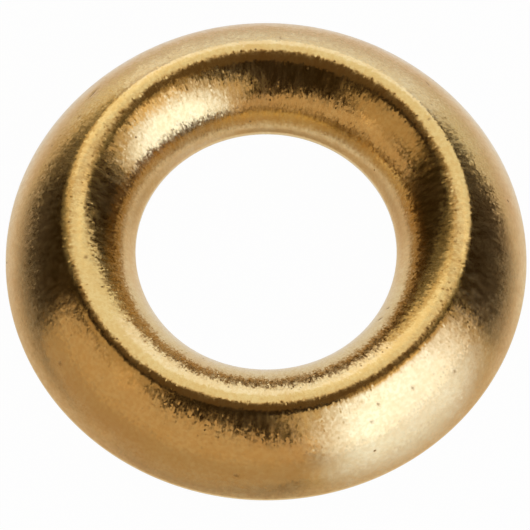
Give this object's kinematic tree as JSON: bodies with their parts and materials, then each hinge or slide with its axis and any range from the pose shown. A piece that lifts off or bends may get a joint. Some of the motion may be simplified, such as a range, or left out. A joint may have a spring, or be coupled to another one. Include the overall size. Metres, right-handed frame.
{
  "type": "finishing cup washer",
  "caption": "Pressed brass cup washer: a rolled crown joins a flared skirt to a rounded well and hole, to seat a countersunk screw head flush on wood.",
  "frame": {"origin": "centre of the foot ring, on the surface that the washer stands on", "axes": "+Z along the screw's axis, out of the work and towards the screw's head; X and Y are alike"},
  "size_m": [0.014, 0.014, 0.0023],
  "materials": {
    "brass": "tumbled and polished brass, with fine grain, small pits and handling marks"
  },
  "bodies": {
    "root": {"cup_washer": "brass"}
  },
  "joints": []
}
